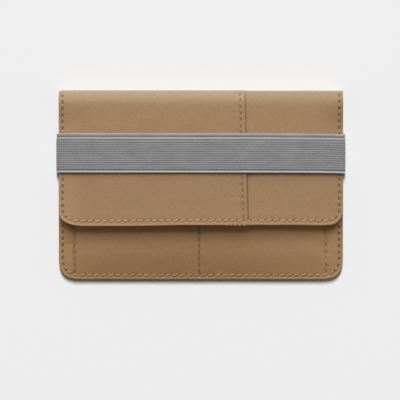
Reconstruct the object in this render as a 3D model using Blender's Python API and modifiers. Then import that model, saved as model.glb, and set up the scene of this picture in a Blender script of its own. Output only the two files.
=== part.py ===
"""Soft fabric travel document case, lying on its back and held shut by a ribbed elastic band.

Metres. +Z is the front of the case, +X its right side and +Y its top fold.
The underside of the band's back run is at z = 0, and the case's outline is centred on x = y = 0.
"""

import math

import bmesh
import bpy

MM = 0.001

# Outline of the case, seen from the front
CASE_HALF_WIDTH = 91.5 * MM
CASE_HALF_HEIGHT = 60.65 * MM
BODY_CORNER = 15.0 * MM
FLAP_CORNER = 9.5 * MM
BODY_CORNER_POWER = 2.9
FLAP_CORNER_POWER = 2.0
FLAP_SHORT = 34.65 * MM
FLAP_EDGE_Y = FLAP_SHORT - CASE_HALF_HEIGHT
MOUTH_BELOW_FOLD = 12.15 * MM
MOUTH_Y = CASE_HALF_HEIGHT - MOUTH_BELOW_FOLD
DIVIDER_DROP = 3.0 * MM

# Sheets and the room between them
FABRIC = 0.6 * MM
OVERLAY_FABRIC = 0.5 * MM
LINING = 0.3 * MM
DIVIDER = 0.4 * MM
BOARD = 0.6 * MM
LAYER_GAP = 0.2 * MM
FIT_GAP = 0.3 * MM
COMPARTMENT = 4.3 * MM
POCKET_PUFF = 0.7 * MM
DIVIDER_SLACK = 0.4 * MM

# Elastic band
BAND_WIDTH = 25.4 * MM
BAND_THICK = 1.2 * MM
BAND_BELOW_FOLD = 27.6 * MM
BAND_LOW_Y = CASE_HALF_HEIGHT - BAND_BELOW_FOLD - BAND_WIDTH
BAND_SIDE_GAP = 0.4 * MM
BAND_TOP_RADIUS = 2.0 * MM
BAND_BOTTOM_RADIUS = 2.5 * MM
BAND_JOIN_GAP = 0.3 * MM
RIB_PITCH = 1.33 * MM
RIB_CREST = 0.75 * MM
RIB_GROOVE = 0.28 * MM
BEAD_WIDTH = 1.3 * MM
BEAD_DROP = 0.35 * MM
BEAD_GROOVE = 1.0 * MM
RIB_COUNT = int((BAND_WIDTH - 2 * BEAD_WIDTH - 2 * BEAD_GROOVE) / RIB_PITCH)

# Seams and pocket rows
SEAM_INSET = 2.5 * MM
FLAP_HEM_INSET = 3.2 * MM
EDGE_ROLL = 0.45 * MM
RISE = 16.5 * MM
BACK_RISE = 10.0 * MM
BACK_EDGE_LIFT = 4.2 * MM
LEFT_ROW_INSET = 10.1 * MM
RIGHT_ROW_INSET = 10.9 * MM
LEFT_ROW_X = LEFT_ROW_INSET - CASE_HALF_WIDTH
MIDDLE_ROW_X = -1.2 * MM
RIGHT_ROW_X = CASE_HALF_WIDTH - RIGHT_ROW_INSET
LINING_INSET = 7.5 * MM
BOARD_INSET = 10.5 * MM
DIVIDER_SIDE_INSET = 11.4 * MM

# Flap
FLAP_DROOP = 2.3 * MM
DROOP_REACH = 25.5 * MM
DROOP_START_X = CASE_HALF_WIDTH - DROOP_REACH
DROOP_FADE_REACH = 25.65 * MM
DROOP_FADE_Y = CASE_HALF_HEIGHT - DROOP_FADE_REACH
FLAP_EDGE_RADIUS = 1.3 * MM
STITCH_DIP = 0.25 * MM
STITCH_DIP_WIDTH = 0.8 * MM
FLAP_BOARD_INSET = 4.0 * MM
FLAP_LINING_INSET = 1.0 * MM
OVERLAY_INSET = 0.4 * MM
OVERLAY_EDGE_RADIUS = 0.4 * MM
OVERLAY_SHORT = 63.7 * MM
OVERLAY_EDGE_TOP_X = CASE_HALF_WIDTH - OVERLAY_SHORT
OVERLAY_EDGE_LEAN = 2.1 * MM
OVERLAY_HEM = 3.0 * MM
OVERLAY_HEM_LIFT = 0.12 * MM

# Spine along the top fold
FOLD_REACH = 4.5 * MM
CROWN_REACH = 11.0 * MM
FOLD_LIP_GAP = 0.18 * MM
SPINE_HALF_WIDTH = CASE_HALF_WIDTH - FIT_GAP
SPINE_LINING_INSET = 1.2 * MM

# Heights of the layers, from the floor up
BACK_Z = BAND_THICK + FIT_GAP
BACK_TOP_Z = BACK_Z + FABRIC
BACK_BOARD_Z = BACK_TOP_Z + LAYER_GAP
BACK_LINING_Z = BACK_BOARD_Z + BOARD + LAYER_GAP
COMPARTMENT_Z = BACK_LINING_Z + LINING
DIVIDER_TOP_Z = COMPARTMENT_Z + COMPARTMENT + DIVIDER
POCKET_LINING_TOP_Z = DIVIDER_TOP_Z + LAYER_GAP + LINING
FRONT_ROW_Z = POCKET_LINING_TOP_Z + LAYER_GAP + FABRIC
FRONT_SEAM_Z = BACK_Z + BACK_EDGE_LIFT + FABRIC + FIT_GAP + FABRIC
FRONT_RISE = FRONT_ROW_Z - FRONT_SEAM_Z
FLAP_LINING_Z = FRONT_ROW_Z + POCKET_PUFF + FIT_GAP
FLAP_BOARD_Z = FLAP_LINING_Z + LINING + LAYER_GAP
FLAP_TOP_Z = FLAP_BOARD_Z + BOARD + LAYER_GAP + FABRIC
OVERLAY_TOP_Z = FLAP_TOP_Z + LAYER_GAP + OVERLAY_FABRIC
BAND_INNER_Z = OVERLAY_TOP_Z + LAYER_GAP

# Fold lines of the spine: the outer corners of the closed case
FOLD_Y = CASE_HALF_HEIGHT
LOWER_FOLD_Z = BACK_Z
UPPER_FOLD_Z = FLAP_TOP_Z
FOLD_MIDDLE_Z = (LOWER_FOLD_Z + UPPER_FOLD_Z) / 2
FOLD_HALF_HEIGHT = UPPER_FOLD_Z - FOLD_MIDDLE_Z
PANEL_TOP_Y = FOLD_Y - FOLD_REACH - FOLD_LIP_GAP

# Places of the grid lines, as shares of a corner, a pocket cell or a run
CORNER_SHARES = (0.0, 0.085, 0.167, 0.307, 0.487)
CORNER_ROW_SHARES = (0.0, 0.085, 0.167, 0.307, 0.487, 0.66, 0.84, 1.0)
FLAP_CORNER_SHARES = (0.0, 0.025, 0.071, 0.137, 0.263, 0.42, 0.6, 0.8, 1.0)
FLAP_HEM_SHARES = (0.0, 0.025, 0.071, 0.137, 0.337, 0.48, 0.64, 0.82, 1.0)
CELL_SHARES = (0.035, 0.08, 0.16, 0.26, 0.38, 0.5, 0.62, 0.74, 0.84, 0.92, 0.965)
PLAIN_SHARES = (0.0, 0.15, 0.35, 0.6, 0.8, 1.0)
RISE_POWER = 1.4
PUFF_POWER = 0.8
RUN_STEPS = 8
FLAP_STEPS = 4
FADE_STEPS = 6
DROOP_STEPS = 4
ARC_STEPS = 5

# Colours, linear
FABRIC_COLOUR = (0.340, 0.222, 0.124)
LINING_COLOUR = (0.250, 0.165, 0.095)
BOARD_COLOUR = (0.450, 0.450, 0.430)
ELASTIC_COLOUR = (0.235, 0.225, 0.205)


def clear_scene():
    for old in list(bpy.data.objects):
        bpy.data.objects.remove(old, do_unlink=True)


def new_material(name, colour, roughness):
    material = bpy.data.materials.new(name)
    material.use_nodes = True
    shader = material.node_tree.nodes["Principled BSDF"]
    shader.inputs["Base Color"].default_value = (*colour, 1.0)
    shader.inputs["Roughness"].default_value = roughness
    shader.inputs["Metallic"].default_value = 0.0
    return material


def new_collection(name):
    collection = bpy.data.collections.new(name)
    bpy.context.scene.collection.children.link(collection)
    return collection


def put_origin(obj, origin):
    """Moves the object's origin to a joint line and leaves its shape where it is."""
    for vertex in obj.data.vertices:
        vertex.co.x -= origin[0]
        vertex.co.y -= origin[1]
        vertex.co.z -= origin[2]
    obj.location = origin


def eased(share):
    """Steep at the seam and level at the top, like a filled pouch."""
    share = min(max(share, 0.0), 1.0)
    return math.sin(math.pi / 2 * share) ** RISE_POWER


def rounded_low_corner(x, y, half_width, low_y, corner, power):
    """Draws a square corner in to a soft one, and gives the distance in from the edge."""
    side = max(abs(x) - (half_width - corner), 0.0)
    down = max(low_y + corner - y, 0.0)
    if side > 0 and down > 0:
        pull = max(side, down) / (side**power + down**power) ** (1 / power)
        x = math.copysign(half_width - corner + side * pull, x)
        y = low_y + corner - down * pull
    if side > 0 or down > 0:
        return x, y, corner - max(side, down)
    return x, y, min(half_width - abs(x), y - low_y)


def body_columns():
    """Grid lines across the case: close at the sides and at the three pocket rows."""
    left = [-CASE_HALF_WIDTH + BODY_CORNER * share for share in CORNER_SHARES]
    right = [-x for x in reversed(left)]
    first = MIDDLE_ROW_X - LEFT_ROW_X
    second = RIGHT_ROW_X - MIDDLE_ROW_X
    cells = [LEFT_ROW_X] + [LEFT_ROW_X + first * share for share in CELL_SHARES]
    cells += [MIDDLE_ROW_X] + [MIDDLE_ROW_X + second * share for share in CELL_SHARES]
    return left + cells + [RIGHT_ROW_X] + right


def inner_columns(inset):
    """Grid lines of an inner sheet that stops short of the sides."""
    edge = CASE_HALF_WIDTH - inset
    kept = [x for x in body_columns() if abs(x) < edge - inset / 4]
    return [-edge] + kept + [edge]


def plain_columns(half_width, corner):
    left = [-half_width + corner * share for share in PLAIN_SHARES]
    return left + [0.0] + [-x for x in reversed(left)]


def rows(low_y, corner, shares, top_y, steps):
    """Grid lines up the case: close at the lower edge, then even up to the top."""
    low = [low_y + corner * share for share in shares]
    return low + even_steps(low[-1], top_y, steps)


def even_steps(start, end, steps):
    return [start + (end - start) * step / steps for step in range(1, steps + 1)]


def cell_puff(x):
    """0 at the three pocket rows and 1 in the middle of each cell."""
    if x <= LEFT_ROW_X or x >= RIGHT_ROW_X:
        return 0.0
    if x < MIDDLE_ROW_X:
        share = (x - LEFT_ROW_X) / (MIDDLE_ROW_X - LEFT_ROW_X)
    else:
        share = (x - MIDDLE_ROW_X) / (RIGHT_ROW_X - MIDDLE_ROW_X)
    return max(math.sin(math.pi * share), 0.0) ** PUFF_POWER


def front_height(x, inset):
    """Top of the front panel: rolled edge, sewn dip, rise, and two filled cells."""
    rise = eased((inset - SEAM_INSET) / RISE)
    roll = math.sin(math.pi * inset / SEAM_INSET) if 0 < inset < SEAM_INSET else 0.0
    return FRONT_SEAM_Z + EDGE_ROLL * roll + rise * (FRONT_RISE + POCKET_PUFF * cell_puff(x))


def back_height(inset):
    """Underside of the back panel: level, and drawn up to the seam at the edge."""
    return BACK_Z + BACK_EDGE_LIFT * (1 - eased(inset / BACK_RISE))


def side_droop(x, y=0.0):
    """How far the flap sinks towards its sides, where the band pulls it down.

    It fades out towards the fold, which the spine holds up.
    """
    share = (abs(x) - DROOP_START_X) / (CASE_HALF_WIDTH - DROOP_START_X)
    fade = min(max((y - DROOP_FADE_Y) / (PANEL_TOP_Y - DROOP_FADE_Y), 0.0), 1.0)
    return FLAP_DROOP * max(share, 0.0) ** 2 * math.cos(math.pi / 2 * fade) ** 2


def crown_fall(y):
    """How far the flap has rounded down towards the top fold, on a quarter of an ellipse."""
    share = max(y - FOLD_Y + CROWN_REACH, 0.0) / CROWN_REACH
    return FOLD_HALF_HEIGHT * (1 - math.sqrt(1 - share**2))


def flap_fall(x, y):
    """How far every layer of the flap is below its middle: at the sides and at the fold."""
    return side_droop(x, y) + crown_fall(y)


def edge_drop(inset, radius):
    """How far a rounded edge has turned down at this distance in."""
    if inset >= radius:
        return 0.0
    return radius - math.sqrt(max(radius**2 - (radius - inset) ** 2, 0.0))


def dip(distance):
    return STITCH_DIP * math.exp(-((distance / STITCH_DIP_WIDTH) ** 2))


def sheet(collection, material, name, columns, lines, place, thickness, upwards=False):
    """A fabric or board sheet: a grid laid out by place(x, y), then given its thickness."""
    mesh = bpy.data.meshes.new(name)
    grid = bmesh.new()
    across = len(columns) - 1
    along = len(lines) - 1
    bmesh.ops.create_grid(grid, x_segments=across, y_segments=along, size=1)
    for vertex in grid.verts:
        column = round((vertex.co.x + 1) / 2 * across)
        line = round((vertex.co.y + 1) / 2 * along)
        vertex.co = place(columns[column], lines[line])
    grid.to_mesh(mesh)
    grid.free()
    mesh.materials.append(material)
    mesh.shade_smooth()
    obj = bpy.data.objects.new(name, mesh)
    collection.objects.link(obj)
    wall = obj.modifiers.new("Thickness", "SOLIDIFY")
    wall.thickness = thickness
    wall.offset = 1.0 if upwards else -1.0
    wall.use_even_offset = True
    return obj


def body_place(low_inset, height):
    """Places a sheet of the body, whose outline stands low_inset in from the case's."""
    half_width = CASE_HALF_WIDTH - low_inset
    low_y = -CASE_HALF_HEIGHT + low_inset
    corner = BODY_CORNER - low_inset

    def place(x, y):
        x, y, inset = rounded_low_corner(x, y, half_width, low_y, corner, BODY_CORNER_POWER)
        return x, y, height(x, inset + low_inset)

    return place


def flap_place(inset_by, height):
    """Places a sheet of the flap, whose outline stands inset_by in from the flap's."""
    half_width = CASE_HALF_WIDTH - inset_by
    low_y = FLAP_EDGE_Y + inset_by
    corner = FLAP_CORNER - inset_by

    def place(x, y):
        x, y, inset = rounded_low_corner(x, y, half_width, low_y, corner, FLAP_CORNER_POWER)
        return x, y, height(x, y, inset + inset_by) - flap_fall(x, y)

    return place


def build_body(collection, fabric, lining, board):
    low_y = -CASE_HALF_HEIGHT
    panel_rows = rows(low_y, BODY_CORNER, CORNER_ROW_SHARES, PANEL_TOP_Y, RUN_STEPS)
    sheet(
        collection,
        fabric,
        "back_panel",
        plain_columns(CASE_HALF_WIDTH, BODY_CORNER),
        rows(low_y, BODY_CORNER, PLAIN_SHARES, PANEL_TOP_Y, 1),
        body_place(0.0, lambda x, inset: back_height(inset)),
        FABRIC,
        upwards=True,
    )
    board_low = low_y + BOARD_INSET
    board_corner = BODY_CORNER - BOARD_INSET
    sheet(
        collection,
        board,
        "back_stiffener",
        plain_columns(CASE_HALF_WIDTH - BOARD_INSET, board_corner),
        rows(board_low, board_corner, PLAIN_SHARES, PANEL_TOP_Y - SEAM_INSET, 1),
        body_place(BOARD_INSET, lambda x, inset: BACK_BOARD_Z),
        BOARD,
        upwards=True,
    )
    lining_low = low_y + LINING_INSET
    lining_corner = BODY_CORNER - LINING_INSET
    sheet(
        collection,
        lining,
        "back_lining",
        plain_columns(CASE_HALF_WIDTH - LINING_INSET, lining_corner),
        rows(lining_low, lining_corner, PLAIN_SHARES, PANEL_TOP_Y, 1),
        body_place(LINING_INSET, lambda x, inset: BACK_LINING_Z),
        LINING,
        upwards=True,
    )
    inner_rows = [y for y in panel_rows if lining_low < y < MOUTH_Y - DIVIDER_DROP]
    drop = FRONT_ROW_Z - DIVIDER_TOP_Z
    sheet(
        collection,
        lining,
        "pocket_divider",
        inner_columns(DIVIDER_SIDE_INSET),
        [lining_low] + inner_rows + [MOUTH_Y - DIVIDER_DROP],
        lambda x, y: (x, y, divider_height(x, y) - drop),
        DIVIDER,
    )
    lining_rows = [y for y in panel_rows if lining_low < y < MOUTH_Y]
    skin = FABRIC + LAYER_GAP
    sheet(
        collection,
        lining,
        "front_lining",
        inner_columns(LINING_INSET),
        [lining_low] + lining_rows + [MOUTH_Y],
        body_place(LINING_INSET, lambda x, inset: front_height(x, inset) - skin),
        LINING,
    )
    sheet(
        collection,
        fabric,
        "front_panel",
        body_columns(),
        rows(low_y, BODY_CORNER, CORNER_ROW_SHARES, MOUTH_Y, RUN_STEPS),
        body_place(0.0, front_height),
        FABRIC,
    )


def divider_height(x, y):
    """The front panel's height over the divider, without the filled cells."""
    side = max(abs(x) - (CASE_HALF_WIDTH - BODY_CORNER), 0.0)
    down = max(BODY_CORNER - CASE_HALF_HEIGHT - y, 0.0)
    inset = min(CASE_HALF_WIDTH - abs(x), y + CASE_HALF_HEIGHT)
    if side > 0 or down > 0:
        power = BODY_CORNER_POWER
        inset = BODY_CORNER - (side**power + down**power) ** (1 / power)
    return FRONT_SEAM_Z + eased((inset - DIVIDER_SLACK - SEAM_INSET) / RISE) * FRONT_RISE


def fold_arc(reach, depth):
    """From the strip's edge out to the fold: depth and height on an ellipse of this reach."""
    across = reach - depth
    start = math.asin((reach - FOLD_REACH) / across)
    turns = [start + (math.pi / 2 - start) * step / ARC_STEPS for step in range(ARC_STEPS + 1)]
    height = FOLD_HALF_HEIGHT - depth
    return [(FOLD_Y - reach + across * math.sin(t), height * math.cos(t)) for t in turns]


def fold_strip(collection, material, name, half_width, inset, thickness):
    """A C-shaped strip along the top fold, from the back panel's edge to the flap's."""
    profile = []
    for depth, order in ((inset, 1), (inset + thickness, -1)):
        low = fold_arc(FOLD_REACH, depth)
        high = fold_arc(CROWN_REACH, depth)
        skin = [(y, FOLD_MIDDLE_Z - z) for y, z in low]
        skin += [(y, FOLD_MIDDLE_Z + z) for y, z in reversed(high[:-1])]
        profile += skin[::order]
    data = bpy.data.curves.new(name, "CURVE")
    data.dimensions = "2D"
    data.fill_mode = "BOTH"
    data.extrude = half_width
    line = data.splines.new("POLY")
    line.points.add(len(profile) - 1)
    for point, (y, z) in zip(line.points, profile):
        point.co = (y, z, 0.0, 1.0)
    line.use_cyclic_u = True
    return solid_from_curve(
        collection, material, name, data, lambda co: (co.z, co.x, co.y)
    )


def solid_from_curve(collection, material, name, data, place):
    """Turns a curve into a closed mesh, puts each point where place says, and welds it."""
    maker = bpy.data.objects.new(name + "_curve", data)
    bpy.context.scene.collection.objects.link(maker)
    graph = bpy.context.evaluated_depsgraph_get()
    mesh = bpy.data.meshes.new_from_object(maker.evaluated_get(graph))
    bpy.data.objects.remove(maker, do_unlink=True)
    solid = bmesh.new()
    solid.from_mesh(mesh)
    for vertex in solid.verts:
        vertex.co = place(vertex.co.copy())
    bmesh.ops.remove_doubles(solid, verts=solid.verts, dist=LAYER_GAP / 20)
    bmesh.ops.recalc_face_normals(solid, faces=solid.faces)
    solid.to_mesh(mesh)
    solid.free()
    mesh.materials.clear()
    mesh.materials.append(material)
    mesh.name = name
    obj = bpy.data.objects.new(name, mesh)
    collection.objects.link(obj)
    return obj


def build_spine(collection, fabric, lining):
    origin = (0.0, FOLD_Y, LOWER_FOLD_Z)
    outer = fold_strip(collection, fabric, "spine_panel", SPINE_HALF_WIDTH, 0.0, FABRIC)
    put_origin(outer, origin)
    inner = fold_strip(
        collection,
        lining,
        "spine_lining",
        SPINE_HALF_WIDTH - SPINE_LINING_INSET,
        FABRIC + LAYER_GAP,
        LINING,
    )
    put_origin(inner, origin)


def flap_height(x, y, inset):
    """Top of the flap panel: rounded edge, and a sewn dip inside it."""
    bottom = y - FLAP_EDGE_Y
    row = FLAP_HEM_INSET if bottom < CASE_HALF_WIDTH - abs(x) else SEAM_INSET
    return FLAP_TOP_Z - edge_drop(inset, FLAP_EDGE_RADIUS) - dip(inset - row)


def overlay_edge_x(y):
    """The overlay's free edge, which leans a little away from the middle as it goes down."""
    share = (FOLD_Y - y) / (FOLD_Y - FLAP_EDGE_Y)
    return OVERLAY_EDGE_TOP_X + OVERLAY_EDGE_LEAN * share


def overlay_place(x, y):
    """The overlay follows the flap, with a raised hem along its free edge."""
    reach = CASE_HALF_WIDTH - OVERLAY_INSET
    low_y = FLAP_EDGE_Y + OVERLAY_INSET
    corner = FLAP_CORNER - OVERLAY_INSET
    x, y, inset = rounded_low_corner(x, y, reach, low_y, corner, FLAP_CORNER_POWER)
    if x > 0:
        x *= overlay_edge_x(y) / OVERLAY_EDGE_TOP_X
    from_edge = overlay_edge_x(y) - x
    row = FLAP_HEM_INSET if y - low_y < reach - abs(x) else SEAM_INSET
    top = OVERLAY_TOP_Z - flap_fall(x, y) - dip(inset + OVERLAY_INSET - row)
    if from_edge < OVERLAY_HEM:
        top += OVERLAY_HEM_LIFT * math.sin(math.pi * from_edge / OVERLAY_HEM)
    return x, y, top - edge_drop(inset, OVERLAY_EDGE_RADIUS)


def build_flap(collection, fabric, lining, board):
    origin = (0.0, FOLD_Y, UPPER_FOLD_Z)
    left = [-CASE_HALF_WIDTH + FLAP_CORNER * share for share in FLAP_CORNER_SHARES]
    lines = rows(FLAP_EDGE_Y, FLAP_CORNER, FLAP_HEM_SHARES, DROOP_FADE_Y, FLAP_STEPS)
    lines += even_steps(DROOP_FADE_Y, PANEL_TOP_Y, FADE_STEPS)
    drooped = even_steps(left[-1], -DROOP_START_X, DROOP_STEPS)
    middle = drooped + [0.0] + [-x for x in reversed(drooped)]
    panel = sheet(
        collection,
        fabric,
        "flap_panel",
        left + middle + [-x for x in reversed(left)],
        lines,
        flap_place(0.0, flap_height),
        FABRIC,
    )
    put_origin(panel, origin)
    overlay_left = [x + OVERLAY_INSET for x in left]
    hem_middle = OVERLAY_EDGE_TOP_X - OVERLAY_HEM / 2
    hem_start = OVERLAY_EDGE_TOP_X - OVERLAY_HEM
    overlay = sheet(
        collection,
        fabric,
        "flap_overlay",
        overlay_left + drooped + [0.0, hem_start, hem_middle, OVERLAY_EDGE_TOP_X],
        [lines[0] + OVERLAY_INSET] + [lines[1] + OVERLAY_INSET] + lines[3:],
        overlay_place,
        OVERLAY_FABRIC,
    )
    put_origin(overlay, origin)
    for name, material, inset, low_z, thickness, short in (
        ("flap_stiffener", board, FLAP_BOARD_INSET, FLAP_BOARD_Z, BOARD, SEAM_INSET),
        ("flap_lining", lining, FLAP_LINING_INSET, FLAP_LINING_Z, LINING, 0.0),
    ):
        corner = FLAP_CORNER - inset
        edges = [-CASE_HALF_WIDTH + inset + corner * share for share in PLAIN_SHARES]
        inner = sheet(
            collection,
            material,
            name,
            edges + middle + [-x for x in reversed(edges)],
            rows(FLAP_EDGE_Y + inset, corner, PLAIN_SHARES, DROOP_FADE_Y, 1)
            + even_steps(DROOP_FADE_Y, PANEL_TOP_Y - short, FADE_STEPS),
            flap_place(inset, lambda x, y, inset, z=low_z: z),
            thickness,
            upwards=True,
        )
        put_origin(inner, origin)


def band_profile():
    """Cross-section of the elastic: flat inside, ribs and two edge beads outside."""
    half = BAND_WIDTH / 2
    points = [(-half + BEAD_DROP, 0.0), (-half, BEAD_DROP), (-half, BAND_THICK - BEAD_DROP)]
    points += [(-half + BEAD_DROP, BAND_THICK), (-half + BEAD_WIDTH - BEAD_DROP, BAND_THICK)]
    points += [(-half + BEAD_WIDTH, BAND_THICK - BEAD_DROP)]
    for rib in range(RIB_COUNT):
        centre = (rib - (RIB_COUNT - 1) / 2) * RIB_PITCH
        points += [(centre - RIB_PITCH / 2, BAND_THICK - RIB_GROOVE)] if rib else []
        points += [(centre - RIB_CREST / 2, BAND_THICK), (centre + RIB_CREST / 2, BAND_THICK)]
    return points + [(-across, out) for across, out in reversed(points[:6])]


def band_path_front():
    """Inner face of the front run, from the left side to the right, with both corners."""
    inner_x = CASE_HALF_WIDTH + BAND_SIDE_GAP
    turn_x = inner_x - BAND_TOP_RADIUS
    turn_z = BAND_INNER_Z - side_droop(turn_x) - BAND_TOP_RADIUS
    half = [(0.0, BAND_INNER_Z)]
    for step in range(ARC_STEPS):
        x = DROOP_START_X + (turn_x - DROOP_START_X) * step / ARC_STEPS
        half.append((x, BAND_INNER_Z - side_droop(x)))
    for step in range(ARC_STEPS + 1):
        turn = math.pi / 2 * step / ARC_STEPS
        half.append(
            (turn_x + BAND_TOP_RADIUS * math.sin(turn), turn_z + BAND_TOP_RADIUS * math.cos(turn))
        )
    return [(-x, z) for x, z in reversed(half[1:])] + half


def band_path_back(side):
    """Inner face of one half of the back run, from the butted join to the side."""
    inner_x = CASE_HALF_WIDTH + BAND_SIDE_GAP
    turn_x = inner_x - BAND_BOTTOM_RADIUS
    turn_z = BAND_THICK + BAND_BOTTOM_RADIUS
    path = [(side * BAND_JOIN_GAP / 2, BAND_THICK)]
    for step in range(ARC_STEPS + 1):
        turn = math.pi / 2 * step / ARC_STEPS
        across = turn_x + BAND_BOTTOM_RADIUS * math.sin(turn)
        path.append((side * across, turn_z - BAND_BOTTOM_RADIUS * math.cos(turn)))
    return path


def band_piece(collection, material, name, path, out_left):
    """Sweeps the ribbed cross-section along one run of the loop."""
    shape = bpy.data.curves.new(name + "_section", "CURVE")
    shape.dimensions = "2D"
    shape.fill_mode = "NONE"
    section = band_profile()
    line = shape.splines.new("POLY")
    line.points.add(len(section) - 1)
    for point, (across, out) in zip(line.points, section):
        point.co = (-out if out_left else out, across, 0.0, 1.0)
    line.use_cyclic_u = True
    cutter = bpy.data.objects.new(name + "_section", shape)
    data = bpy.data.curves.new(name, "CURVE")
    data.dimensions = "2D"
    data.fill_mode = "NONE"
    data.bevel_mode = "OBJECT"
    data.bevel_object = cutter
    data.use_fill_caps = True
    run = data.splines.new("POLY")
    run.points.add(len(path) - 1)
    for point, (x, z) in zip(run.points, path):
        point.co = (x, z, 0.0, 1.0)
    middle_y = BAND_LOW_Y + BAND_WIDTH / 2
    piece = solid_from_curve(
        collection, material, name, data, lambda co: (co.x, middle_y + co.z, co.y)
    )
    bpy.data.objects.remove(cutter, do_unlink=True)
    put_origin(piece, (0.0, middle_y, BAND_THICK))


def build_band(collection, elastic):
    front = band_path_front()
    backs = {side: band_path_back(side) for side in (-1, 1)}
    band_piece(collection, elastic, "band_front_run", front, True)
    for side, word, top in ((-1, "left", front[0]), (1, "right", front[-1])):
        back = backs[side]
        band_piece(collection, elastic, f"band_back_{word}", back, side < 0)
        low = (back[-1][0], back[-1][1] + BAND_JOIN_GAP)
        high = (top[0], top[1] - BAND_JOIN_GAP)
        band_piece(collection, elastic, f"band_side_{word}", [low, high], side < 0)


def main():
    clear_scene()
    collection = new_collection("travel_document_case")
    fabric = new_material("outer_fabric", FABRIC_COLOUR, 0.62)
    lining = new_material("lining_fabric", LINING_COLOUR, 0.70)
    board = new_material("stiffener_board", BOARD_COLOUR, 0.80)
    elastic = new_material("ribbed_elastic", ELASTIC_COLOUR, 0.75)
    build_body(collection, fabric, lining, board)
    build_spine(collection, fabric, lining)
    build_flap(collection, fabric, lining, board)
    build_band(collection, elastic)
    bpy.context.view_layer.update()


main()
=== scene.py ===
"""Looks for the travel document case: cloth, topstitching and the ribbed elastic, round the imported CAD."""

import math

import bpy
import numpy as np
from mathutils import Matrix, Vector, kdtree


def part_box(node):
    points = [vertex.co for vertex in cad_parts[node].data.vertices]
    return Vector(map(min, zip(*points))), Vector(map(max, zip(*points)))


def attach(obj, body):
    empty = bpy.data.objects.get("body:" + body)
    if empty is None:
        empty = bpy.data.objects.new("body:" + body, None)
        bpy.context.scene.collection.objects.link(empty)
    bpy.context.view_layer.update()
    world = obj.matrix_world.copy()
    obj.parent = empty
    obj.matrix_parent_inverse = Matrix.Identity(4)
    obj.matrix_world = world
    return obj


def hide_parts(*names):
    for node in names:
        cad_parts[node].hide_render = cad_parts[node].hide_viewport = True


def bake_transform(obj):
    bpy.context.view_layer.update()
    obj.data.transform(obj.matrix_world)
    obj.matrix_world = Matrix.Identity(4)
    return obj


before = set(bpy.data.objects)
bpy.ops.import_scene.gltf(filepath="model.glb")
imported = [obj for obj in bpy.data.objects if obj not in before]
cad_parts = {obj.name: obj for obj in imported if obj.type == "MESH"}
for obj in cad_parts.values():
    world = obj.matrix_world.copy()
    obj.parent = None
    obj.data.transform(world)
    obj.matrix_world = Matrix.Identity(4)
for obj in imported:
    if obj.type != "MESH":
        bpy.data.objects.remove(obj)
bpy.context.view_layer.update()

MM = 0.001
TINY = 1e-9

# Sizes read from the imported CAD
PANEL_LOW, PANEL_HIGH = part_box("front_panel")
FLAP_LOW, FLAP_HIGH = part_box("flap_panel")
SPINE_LOW, SPINE_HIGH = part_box("spine_panel")
BAND_LOW, BAND_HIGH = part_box("band_front_run")
DIVIDER_LOW, DIVIDER_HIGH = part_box("pocket_divider")

HALF_WIDTH = PANEL_HIGH.x
LOW_Y = PANEL_LOW.y
MOUTH_Y = PANEL_HIGH.y
FLAP_Y = FLAP_LOW.y
FLAP_Z = FLAP_HIGH.z
FOLD_PROUD = 0.1 * MM
FOLD_Y = SPINE_HIGH.y + FOLD_PROUD
BACK_Z = SPINE_LOW.z
MIDDLE_Z = (BACK_Z + FLAP_Z) / 2
HALF_Z = FLAP_Z - MIDDLE_Z

# Outline and heights of the sewn pouch
BODY_CORNER = 15 * MM
BODY_POWER = 2.9
SEAM_Z = 6.95 * MM
ROW_Z = 9.4 * MM
PUFF = 0.7 * MM
PUFF_POWER = 0.8
RISE = 16.5 * MM
EASE_POWER = 1.4
PILLOW_POWER = 4.5
BACK_LIFT = 4.2 * MM
BACK_RISE = 10 * MM
BACK_CALM_REACH = 14 * MM
BODY_ROWS_X = (-81.4 * MM, -1.2 * MM, 80.6 * MM)
SEAM_INSET = 2.5 * MM

# The pouch is emptier below a line above the flap's edge, and on the right
LOW_START = 6.5 * MM
LOW_REACH = 17.5 * MM
LOW_SHARE = 0.47
EMPTY_REACH = 60 * MM
EMPTY_SHARE = 0.1

# Dips along the stitch rows and at the needle holes: depths and half widths
SEAM_DIP = 0.11 * MM
SEAM_DIP_INNER = 2.0 * MM
SEAM_DIP_OUTER = 0.85 * MM
BACK_DIP = 0.4 * MM
BACK_DIP_WIDTH = 0.75 * MM
FLAP_DIP = 0.09 * MM
ROW_DIP = 0.38 * MM
ROW_DIP_WIDTH = 1.0 * MM
ROW_DIP_START = 1 * MM
ROW_DIP_RISE = 2 * MM
PIT_DEPTH = 0.28 * MM
POUCH_PIT_DEPTH = 0.30 * MM

# Outline and fall of the flap, and the fold at its top
FLAP_CORNER = 9.5 * MM
FLAP_POWER = 2.0
HEM_INSET = 3.2 * MM
DROOP = 2.3 * MM
DROOP_REACH = 25.5 * MM
FADE_REACH = 25.65 * MM
FOLD_REACH = 4.5 * MM
CROWN_REACH = 1.0 * MM
SHOULDER_REACH = 13.0 * MM
SHOULDER_DROP = 1.1 * MM
SHOULDER_POWER = 2.4
THIN_REACH = 9.0 * MM
FOLD_POWER = 2.0
CROWN_POWER = 2.4
CROWN_GRID_TURN = math.radians(28)
FOLD_CORNER_LEFT = 1.9 * MM
FOLD_CORNER_RIGHT = 0.7 * MM
FOLD_OVERLAP = 0.05 * MM
LINING_DEPTH = 1.9 * MM
HEM_LIFT = 0.4 * MM
HEM_LIFT_REACH = 14 * MM
HEM_LINE_REACH = 15 * MM
HEM_LINE_STEPS = (-2 * MM, -1 * MM, 0, 1 * MM, 2 * MM)
LONG_CORNER = (16.3 * MM, 7.9 * MM)

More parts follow.
